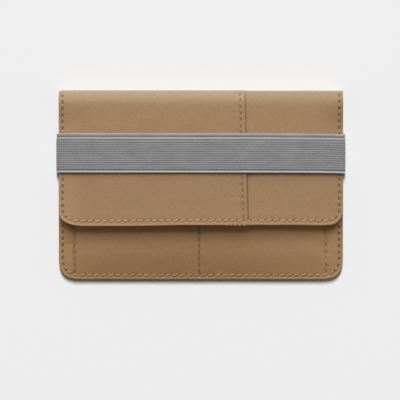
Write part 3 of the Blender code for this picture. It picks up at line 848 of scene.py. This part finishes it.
def folded_cloth(name, points, lift, marks, flip=False):
    """A cloth of the outer fabric that goes round the fold."""
    flat = flat_places(points, lift)
    faces = grid_faces(*points.shape[:2], flip=flip)
    return new_piece(name, round_fold_corners(points), faces, fabric, flat, marks)


# The pouch: front panel and back panel


def relief(x, y, inset, rows_x):
    """Puckers beside the stitch rows, and slow waves of the cloth."""
    pucker = soft_noise(x, y, PUCKER_LONG, PUCKER_SHORT, 11) * bell(inset - SEAM_INSET, PUCKER_WIDTH)
    for row in rows_x:
        near = bell(x - row, ROW_PUCKER_WIDTH)
        pucker = pucker + 1.5 * soft_noise(x, y, ROW_PUCKER_LONG, PUCKER_SHORT, 17) * near
    return MM * (waves(x, y, inset, POUCH_WAVES) + 0.10 * pucker)


def off_front(x, y, out):
    return np.stack([x, y, front_z(x, y, body_inset(x, y)) + out], -1)


def off_back(x, y, out):
    return np.stack([x, y, back_z(y, body_inset(x, y)) - out], -1)


def margin_crease(x, y):
    """A short crease in the cloth beyond the left pocket row."""
    crease_x, crease_y, slope = -85 * MM, -42.3 * MM, -0.05
    depth, width, run = 0.22 * MM, 1.1 * MM, 6 * MM
    return depth * bell(y - crease_y - slope * x, width) * bell(x - crease_x, run)


def build_front():
    near_rows = [spread(row - 1.6 * MM, row + 1.6 * MM, 0.4 * MM) for row in BODY_ROWS_X]
    columns = merged(spread(-HALF_WIDTH, HALF_WIDTH, BOTTOM_PITCH / 8), *near_rows, least=0.2 * MM)
    seen_y = FLAP_Y + 6 * MM
    lines = merged(spread(LOW_Y, seen_y, SIDE_PITCH / 8), spread(seen_y, MOUTH_Y - MM, SIDE_PITCH / 4))
    hem = [(MOUTH_Y - back, lift) for back, lift in MOUTH_HEM]
    grid = Layout(HALF_WIDTH, LOW_Y, BODY_CORNER, BODY_POWER, BODY_EDGE, columns, lines, hem)
    x, y, inset = grid.x, grid.y, grid.inset
    pits_and_shade = pit_field(x, y, perimeter_holes + [hole for row in pocket_rows.values() for hole in row])
    relief_share = np.where(y < FLAP_Y + 2 * MM, 1.0, 0.35)
    out = grid.lift + grid.extra[:, None] - POUCH_PIT_DEPTH * pits_and_shade - margin_crease(x, y)
    out = out + relief_share * relief(x, y, inset, BODY_ROWS_X)
    points = np.stack([x, y, front_z(x, y, inset) + out], -1)
    # Painted light and shade: the pouch is painted lighter towards the right, darker on the left and in the
    # middle.
    pale_start, pale_reach = -12 * MM, 82 * MM
    marks = {"painted_shade": pits_and_shade, "pale": np.clip(((x - pale_start) / pale_reach) ** 2, 0, 1)}
    flat = np.stack([x, y, grid.lift], -1)
    piece = new_piece("front_cloth", points, grid_faces(*x.shape), shaded_pouch_fabric, flat, marks)
    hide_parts("front_panel")
    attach(piece, "case")
    rows = [("perimeter_stitches", perimeter_holes, thread)]
    rows += [(f"pocket_row_stitches_{word}", holes, shaded_thread) for word, holes in pocket_rows.items()]
    for name, holes, material in rows:
        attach(stitches(name, holes, off_front, material), "case")


def build_back():
    lines = spread(LOW_Y, FOLD_Y - FOLD_REACH, SIDE_PITCH / 6)
    columns = spread(-HALF_WIDTH, HALF_WIDTH, BOTTOM_PITCH / 6)
    grid = Layout(HALF_WIDTH, LOW_Y, BODY_CORNER, BODY_POWER, BODY_EDGE, columns, lines)
    x, y, inset = grid.x, grid.y, grid.inset
    pits_and_shade = pit_field(x, y, perimeter_holes)
    calm = portion(FOLD_Y - FOLD_REACH - y, 6 * MM)
    hollows = np.minimum(0.5 * relief(x, y, inset, ()) * calm, 0)
    out = grid.lift - PIT_DEPTH * pits_and_shade * calm + hollows
    level = back_z(y, inset)
    points = np.stack([x, y, level - out], -1)
    points = with_fold(points, x[-1], grid.lift[-1] - (level[-1] - BACK_Z), BACK_FOLD)
    # Painted shade in the needle holes.
    marks = {"painted_shade": padded_rows(pits_and_shade * calm, len(points))}
    piece = folded_cloth("back_cloth", points, grid.lift, marks, flip=True)
    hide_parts("back_panel")
    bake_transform(piece)
    row = stitches("back_perimeter_stitches", perimeter_holes, off_back, thread, lean=-1.0)
    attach(row, "case")


# The flap, its overlay and the upper half of the fold


def overlay_edge(y):
    return OVERLAY_TOP_X + OVERLAY_LEAN * (FOLD_Y - y) / (FOLD_Y - FLAP_Y)


bare_flap_holes = [hole for hole in flap_holes if hole[0] > overlay_edge(hole[1])]


def flap_relief(x, y, inset):
    """Puckers along the flap's stitches, and slow waves, calm towards the fold."""
    at_hem = bell(y - FLAP_Y - HEM_INSET, PUCKER_WIDTH)
    at_sides = bell(HALF_WIDTH - np.abs(x) - SEAM_INSET, PUCKER_WIDTH)
    pucker = soft_noise(x, y, PUCKER_SHORT, ROW_PUCKER_LONG, 31) * at_hem
    pucker = pucker + soft_noise(x, y, PUCKER_LONG, PUCKER_SHORT, 37) * at_sides
    calm = portion(CROWN_TOP_Y - y, 10 * MM)
    return MM * calm * (waves(x, y, inset, FLAP_WAVES) + 0.08 * pucker)


def thinned(y, out):
    """The overlay lies closer to the flap where both are drawn round the fold."""
    return out * (1 - 0.85 * portion(y - FOLD_Y + THIN_REACH, THIN_REACH) ** 2)


def off_overlay(x, y, out):
    return off_flap(x, y, thinned(y, OVERLAY_LIFT) + out)


def build_flap():
    lines = spread(FLAP_Y, CROWN_TOP_Y, SIDE_PITCH / 8)
    left_end, open_start = -HALF_WIDTH + 12 * MM, OVERLAY_TOP_X - 8 * MM
    columns = merged(
        spread(-HALF_WIDTH, left_end, BOTTOM_PITCH / 8),
        spread(left_end, open_start, BOTTOM_PITCH / 3),
        spread(open_start, HALF_WIDTH, BOTTOM_PITCH / 8),
    )
    grid = Layout(HALF_WIDTH, FLAP_Y, FLAP_CORNER, FLAP_POWER, FLAP_EDGE, columns, lines)
    x, y, inset = grid.x, grid.y, grid.inset
    pits_and_shade = pit_field(x, y, bare_flap_holes)
    past_edge = x - overlay_edge(y)
    down_share = portion(FOLD_Y - y, FOLD_Y - FLAP_Y)
    above_row = portion(y - FLAP_Y - HEM_INSET, 2 * MM)
    crevice_place, crevice_width, crevice_depth = 0.25 * MM, 0.42 * MM, 0.30 * MM
    crevice = bell(past_edge - crevice_place, crevice_width) * (0.5 + 0.4 * down_share) * above_row
    covered = 1 - bell(np.maximum(-past_edge, 0), 3 * MM)
    out = grid.lift + flap_dip(inset, grid.down) + flap_relief(x, y, inset)
    out = out - PIT_DEPTH * pits_and_shade - crevice_depth * crevice - OVERLAY_TUCK * covered
    points = off_flap(x, y, out)
    points = with_fold(points, x[-1], out[-1], FLAP_FOLD)
    # Painted shade in the needle holes and in the crevice beside the overlay's edge.
    marks = fold_marks(np.clip(pits_and_shade + 0.75 * crevice, 0, 1), points)
    piece = folded_cloth("flap_cloth", points, grid.lift, marks)
    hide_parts("flap_panel", "spine_panel")
    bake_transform(piece)


def scallops(x, y):
    """Crests and dents of the rolled edge, in a short run where the overlay's hem is turned in."""
    crest = 0.5 + 0.5 * np.cos(2 * np.pi * (x - SCALLOP_X) / SCALLOP_PITCH)
    place = bell(x - 25 * MM, SCALLOP_RUN) * bell(y - FLAP_Y - 0.1 * MM, 0.8 * MM)
    return crest * place, (1 - crest) * place


def overlay_grid():
    """The overlay's grid up to its hem, a few columns between, and the hem's own, which lean with it."""
    reach = 0.15 * MM
    lines = spread(FLAP_Y, CROWN_TOP_Y, SIDE_PITCH / 8)
    columns = spread(-HALF_WIDTH, OVERLAY_TOP_X, BOTTOM_PITCH / 8)
    corner = FLAP_CORNER - reach
    grid = Layout(HALF_WIDTH - reach, FLAP_Y + reach, corner, FLAP_POWER, OVERLAY_EDGE, columns, lines)
    hem_back, hem_rise = np.array(OVERLAY_HEM).T
    kept = np.flatnonzero(grid.x[-1] < OVERLAY_TOP_X - hem_back[0] - 0.3 * MM)
    between = np.linspace(0, 1, 6)[1:-1]
    own, added = len(kept), len(between)
    pick = np.concatenate([kept, np.full(added + len(hem_back), kept[-1])])
    x, y, lift, inset, down = (part[:, pick] for part in (grid.x, grid.y, grid.lift, grid.inset, grid.down))
    x[:, own + added :] = overlay_edge(y[:, own + added :]) - hem_back
    x[:, own : own + added] += (x[:, own + added, None] - x[:, own, None]) * between
    rise = np.concatenate([np.zeros(own + added), hem_rise])
    above_row = np.clip((y - FLAP_Y - 1 * MM) / (3 * MM), 0.35, 1)
    lift = lift + np.where(lift < -0.2 * MM, 0.4, 1.0) * above_row * rise
    return x, y, lift, inset, down


def build_overlay():
    """The upper layer: turned in with the flap's edge at the left and below, hemmed on the right."""
    x, y, lift, inset, down = overlay_grid()
    hem_row = [(overlay_edge(v) - OVERLAY_ROW, v) for v in spread(STITCH_TOP_Y, FLAP_Y + 5 * MM, 2 * MM)]
    hem_holes = holes_along(hem_row, 1.0 * MM, OVERLAY_ROW_WEIGHT)
    left_holes = [hole for hole in flap_holes if hole[0] <= overlay_edge(hole[1]) - 0.5 * MM]
    crests, dents = scallops(x, y)
    # Painted shade in the needle holes and in the dents of the rolled edge, which are also dipped.
    pits_and_shade = pit_field(x, y, hem_holes + left_holes) + 0.6 * dents
    pucker = soft_noise(x, y, 6 * MM, 2.0 * MM, 41) * bell(x - overlay_edge(y) + 4.5 * MM, 3.5 * MM)
    out = thinned(y, OVERLAY_LIFT + lift) + flap_dip(inset, down) + flap_relief(x, y, inset)
    out = out - PIT_DEPTH * pits_and_shade + HEM_PUCKER * pucker + SCALLOP_HEIGHT * crests
    points = off_flap(x, y, out)
    points[..., 1] -= SCALLOP_PULL * crests
    points = with_fold(points, x[-1], out[-1], FLAP_FOLD)
    points = with_fold(points, x[-1], np.full(len(x[-1]), -OVERLAY_TUCK), FLAP_FOLD[-1:])
    marks = fold_marks(pits_and_shade, points)
    # Painted light: the overlay is painted lighter towards its left edge.
    pale_start, pale_reach = 76 * MM, 12 * MM
    marks["pale"] = np.minimum(portion(-pale_start - points[..., 0], pale_reach), 0.8)
    piece = folded_cloth("overlay_cloth", points, lift, marks)
    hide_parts("flap_overlay")
    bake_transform(piece)
    build_flap_stitches(hem_holes, left_holes)


def build_flap_stitches(hem_holes, left_holes):
    """The rows on the overlay, on the bare flap and on the flap's inside."""
    inside = LINING_DEPTH - 0.1 * MM
    for name, holes, place in (
        ("overlay_hem_stitches", hem_holes, lambda x, y, out: off_overlay(x, y, out - STITCH_SINK / 2)),
        ("flap_stitches_left", left_holes, lambda x, y, out: off_overlay(x, y, out - STITCH_SINK)),
        ("flap_stitches_right", bare_flap_holes, lambda x, y, out: off_flap(x, y, out - STITCH_SINK)),
        ("flap_stitches_inside", flap_holes, lambda x, y, out: off_flap(x, y, -inside - out)),
    ):
        row = stitches(name, holes, place, thread)
        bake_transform(row)


# Linings

LINING_CELL = 2 * MM
CROWN_SQUEEZE = 0.8 * MM


def slab(name, x, y, z, thickness):
    """A thin lining with both faces and a closed rim, from a grid of its upper face."""
    rows, columns = x.shape
    top = np.stack([x, y, z], -1).reshape(-1, 3)
    low = top - np.array([0, 0, thickness])
    faces = list(grid_faces(rows, columns)) + list(grid_faces(rows, columns, flip=True) + rows * columns)
    index = np.arange(rows * columns).reshape(rows, columns)
    rim = np.concatenate([index[0], index[1:, -1], index[-1, -2::-1], index[-2:0:-1, 0]])
    faces += [(b, a, a + rows * columns, b + rows * columns) for a, b in zip(rim, np.roll(rim, -1))]
    return new_piece(name, np.concatenate([top, low]), faces, lining)


def lining_grid(inset, low_y, corner, power, top_y):
    columns = spread(-HALF_WIDTH, HALF_WIDTH, LINING_CELL)
    lines = spread(low_y, top_y, LINING_CELL)
    return Layout(HALF_WIDTH - inset, low_y + inset, corner - inset, power, LINING_EDGE, columns, lines)


def closed_ends(x):
    """How much a lining closes against the outer cloth towards its two ends."""
    start, reach = 12 * MM, 8 * MM
    return 0.85 * portion(np.abs(x) - HALF_WIDTH + start, reach) ** 2


def lining_over_fold(name, points, x, rows, flip, start):
    """A lining that goes on round the inside of the fold. Its ends start out closed by the share start."""
    for y, z, across, height in rows:
        closed = closed_ends(x) * (start + (1 - start) * across**2)
        depth = (LINING_DEPTH - CROWN_SQUEEZE * across**2) * (1 - closed)
        points = with_fold(points, x, -depth, [(y, z, across, height)])
    return new_piece(name, points, grid_faces(*points.shape[:2], flip=flip), lining)


def build_front_lining():
    short = 3.4 * MM
    grid = lining_grid(short, LOW_Y, BODY_CORNER, BODY_POWER, MOUTH_Y - 1.2 * MM)
    z = front_z(grid.x, grid.y, grid.inset + short) - 0.85 * MM
    piece = slab("front_pocket_lining", grid.x, grid.y, z, 0.25 * MM)
    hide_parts("front_lining")
    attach(piece, "case")


def build_divider():
    columns = spread(DIVIDER_LOW.x, DIVIDER_HIGH.x, LINING_CELL)
    x, y = np.meshgrid(columns, spread(DIVIDER_LOW.y, DIVIDER_HIGH.y, LINING_CELL))
    rise = eased((pillow_inset(x, y) - 0.4 * MM - SEAM_INSET) / RISE) * pouch_fullness(x, y)
    z = SEAM_Z + rise * (ROW_Z - SEAM_Z) - 1.3 * MM
    piece = slab("divider_cloth", x, y, z, 0.4 * MM)
    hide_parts("pocket_divider")
    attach(piece, "case")


def build_back_lining():
    short = 3.6 * MM
    grid = lining_grid(short, LOW_Y, BODY_CORNER, BODY_POWER, FOLD_Y - FOLD_REACH)
    inner = back_z(grid.y, grid.inset + short) + 0.75 * MM
    run = 8 * MM
    near_fold = portion(grid.y - FOLD_Y + FOLD_REACH + run, run) ** 2
    z = np.maximum(BACK_Z + LINING_DEPTH * (1 - closed_ends(grid.x) * near_fold), inner)
    points = np.stack([grid.x, grid.y, z], -1)
    piece = lining_over_fold("back_lining_cloth", points, grid.x[-1], BACK_FOLD, False, 1.0)
    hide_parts("back_lining", "spine_lining")
    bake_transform(piece)


def build_flap_lining():
    grid = lining_grid(1.2 * MM, FLAP_Y, FLAP_CORNER, FLAP_POWER, CROWN_TOP_Y)
    height = 0.03 * MM * soft_noise(grid.x, grid.y, 12 * MM, 9 * MM, 53)
    depth = LINING_DEPTH - CROWN_SQUEEZE * crown_normal(crown_turn(grid.y))[0] ** 2
    points = off_flap(grid.x, grid.y, height - depth)
    piece = lining_over_fold("flap_lining_cloth", points, grid.x[-1], FLAP_FOLD, True, 0.0)
    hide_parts("flap_lining")
    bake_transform(piece)


# The ribbed elastic band


def bead(centre, half, low, height, cord_share):
    """A rounded cord of the section: (down from the upper edge, out, share of painted groove shade, cord
    share).
    """
    turns = math.pi * np.linspace(0.06, 0.94, 7)
    return [(centre - half * math.cos(t), low + height * math.sin(t), 0.0, cord_share) for t in turns]


def band_section():
    """Once round the elastic's section, from its upper edge down: two cords, ribs, and a lower cord."""
    width = BAND_HIGH.y - BAND_LOW.y
    points = [(0.3 * MM, 0.0, 0.2, 0.4), (0.0, 0.35 * MM, 0.0, 0.5)]
    points += bead(0.95 * MM, 0.85 * MM, 0.80 * MM, 0.16 * MM, 0.2)
    points += [(2.05 * MM, 0.84 * MM, 0.2, 0.1), (2.42 * MM, 0.55 * MM, 1.0, 0.0)]
    points += bead(3.28 * MM, 0.62 * MM, 1.0 * MM, 0.14 * MM, 0.6)
    points += [(4.12 * MM, 1.00 * MM, 1.0, 0.0), (4.45 * MM, 1.10 * MM, 0.2, 0.0)]
    for rib in range(RIB_COUNT):
        centre = RIB_START + (rib + 0.5) * RIB_PITCH
        for place_share, groove_shade in RIB_PROFILE:
            drop = RIB_DROP * (2 * abs(place_share)) ** 2.2
            points.append((centre + place_share * RIB_PITCH, BAND_THICK - drop, groove_shade, 0.0))
    points += [(width - 1.93 * MM, 0.84 * MM, 0.7, 0.0), (width - 1.6 * MM, 0.86 * MM, 0.1, 0.3)]
    points += bead(width - 0.72 * MM, 0.60 * MM, 0.80 * MM, 0.26 * MM, 0.95)
    points += [(width, 0.42 * MM, 0.3, 0.4), (width - 0.3 * MM, 0.0, 0.3, 0.4)]
    return np.array(points)


def band_path():
    """Inner face of the loop from mid-back, once round by the left: place, and outward."""
    inner_x = BAND_HIGH.x - BAND_THICK
    inner_z = BAND_HIGH.z - BAND_THICK
    middle_y = (BAND_LOW.y + BAND_HIGH.y) / 2
    level = lambda x: inner_z - float(side_droop(x, middle_y))
    turns, step = np.linspace(0, np.pi / 2, 9)[1:], 1.6 * MM
    top, low = BAND_TOP_RADIUS, BAND_BOTTOM_RADIUS
    top_x, low_x = inner_x - top, inner_x - low
    top_z, low_z = level(top_x) - top, BAND_THICK + low
    half = [(x, level(x)) for x in spread(0, top_x, step)]
    half += [(top_x + top * math.sin(t), top_z + top * math.cos(t)) for t in turns]
    half += [(inner_x, z) for z in spread(top_z, low_z, 1.2 * MM)[1:]]
    half += [(low_x + low * math.cos(t), low_z - low * math.sin(t)) for t in turns]
    half += [(x, BAND_THICK) for x in spread(low_x, 0, step)[1:]]
    loop = np.array(half[:-1] + [(-x, z) for x, z in reversed(half[1:])])
    loop = np.roll(loop, 1 - len(half), axis=0)
    past_overlay = smooth(portion(loop[:, 0] - OVERLAY_TOP_X, BAND_STEP_RUN))
    loop[:, 1] -= BAND_STEP * past_overlay * portion(loop[:, 1] - low_z, top_z - low_z)
    tangent = np.roll(loop, -1, 0) - np.roll(loop, 1, 0)
    tangent = tangent / np.linalg.norm(tangent, axis=1)[:, None]
    return loop, np.stack([-tangent[:, 1], tangent[:, 0]], -1)


def build_band():
    section = band_section()
    loop, outward = band_path()
    steps = np.linalg.norm(np.diff(loop, axis=0), axis=1)
    walk = np.concatenate([[0], np.cumsum(steps)])
    length, down = np.meshgrid(walk, section[:, 0], indexing="ij")
    out = np.tile(section[:, 1], (len(loop), 1))
    ripple = BAND_RIPPLE * (soft_noise(length, down, 7 * MM, 1.33 * MM, 61) - 1)
    out = out + np.where(out > 0.5 * MM, ripple, 0)
    x = loop[:, :1] + outward[:, :1] * out
    z = loop[:, 1:] + outward[:, 1:] * out
    front_share = (loop[:, 1:] > 5 * MM).astype(float)
    right = portion(x, HALF_WIDTH)
    wander = BAND_WANDER * soft_noise(length, down, 38 * MM, 11 * MM, 67)
    wander = wander - BAND_LOWER_RIGHT * right - BAND_LOWER_END * right**8
    y = BAND_HIGH.y - down + wander * front_share
    points = np.stack([x, y, z], -1)
    index = np.arange(x.size).reshape(x.shape)
    ahead, over = np.roll(index, -1, 0), np.roll(index, -1, 1)
    faces = np.stack([index, ahead, np.roll(ahead, -1, 1), over], -1).reshape(-1, 4)
    flat = np.stack([length, down, out], -1)
    # Painted shade in the grooves, and the pale cords.
    marks = {name: np.tile(section[:, k], (len(loop), 1)) for name, k in (("groove_shade", 2), ("cord", 3))}
    piece = new_piece("elastic_loop", points, faces, elastic, flat, marks)
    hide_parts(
        "band_front_run", "band_side_left", "band_side_right", "band_back_left", "band_back_right"
    )
    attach(piece, "elastic_band")


# Floor, light and camera

PIXEL = 0.643 * MM
IMAGE_SIDE = 400
ORIGIN_PX = (200.9, 184.9)


def build_floor():
    n = Nodes(bpy.data.materials.new("pale_floor"))
    n.set("Base Color", (0.62, 0.62, 0.62, 1))
    n.set("Roughness", 1.0)
    n.set("Specular IOR Level", 0.0)
    side = 3.0
    corners = [(-side, -side, 0), (side, -side, 0), (side, side, 0), (-side, side, 0)]
    floor = new_piece("floor", corners, [(0, 1, 2, 3)], n.owner)
    return floor


def soft_lamp(name, place, size, energy, colour, floor, state):
    """An area lamp aimed at the case, which lights only the floor or everything but it."""
    data = bpy.data.lights.new(name, "AREA")
    data.shape = "RECTANGLE"
    data.size, data.size_y = size
    data.energy = energy
    data.color = colour
    light = scene_object(name, data)
    light.location = place
    light.rotation_euler = (-Vector(place)).to_track_quat("-Z", "Y").to_euler()
    group = bpy.data.collections.new(name + "_receivers")
    group.objects.link(floor)
    group.collection_objects[0].light_linking.link_state = state
    light.light_linking.receiver_collection = group


def build_light(floor):
    soft_lamp("window", (0.0, 1.64, 0.69), (2.4, 2.0), 91.0, (0.98, 1.0, 1.035), floor, "EXCLUDE")
    soft_lamp("floor_light", (0.0, 8.1, 20.0), (2.0, 8.0), 6030.0, (1.0, 1.012, 1.048), floor, "INCLUDE")
    bpy.context.scene.world = pale_room()


def pale_room():
    """Soft warm fill for the case, and a pale room for the camera and for reflections."""
    n = Nodes(bpy.data.worlds.new("soft_room"))
    n.set("Color", (1.0, 0.90, 0.72, 1), "Background")
    n.set("Strength", 0.20, "Background")
    seen = n.add("Background", {"Color": (0.86, 0.86, 0.86, 1), "Strength": 1.0})
    share = n.add("LightPath", {}, "Is Camera Ray")
    for name in ("Is Glossy Ray", "Is Transmission Ray"):
        share = n.maths("MAXIMUM", share, n.add("LightPath", {}, name))
    fill = n.tree.nodes["Background"].outputs[0]
    n.set("Surface", n.add("MixShader", {0: share, 1: fill, 2: seen}), "World Output")
    return n.owner


def build_camera():
    data = bpy.data.cameras.new("camera")
    data.lens = 400.0
    data.sensor_width = 36.0
    data.clip_end = 50.0
    camera = scene_object("camera", data)
    middle = IMAGE_SIDE / 2
    distance = data.lens / data.sensor_width * IMAGE_SIDE * PIXEL
    camera.location = ((middle - ORIGIN_PX[0]) * PIXEL, (ORIGIN_PX[1] - middle) * PIXEL, distance + FLAP_Z)
    bpy.context.scene.camera = camera


build_front_lining()
build_divider()
build_back_lining()
build_flap_lining()
build_front()
build_back()
build_flap()
build_overlay()
build_band()
build_light(build_floor())
build_camera()
bpy.context.scene.view_settings.view_transform = "Standard"
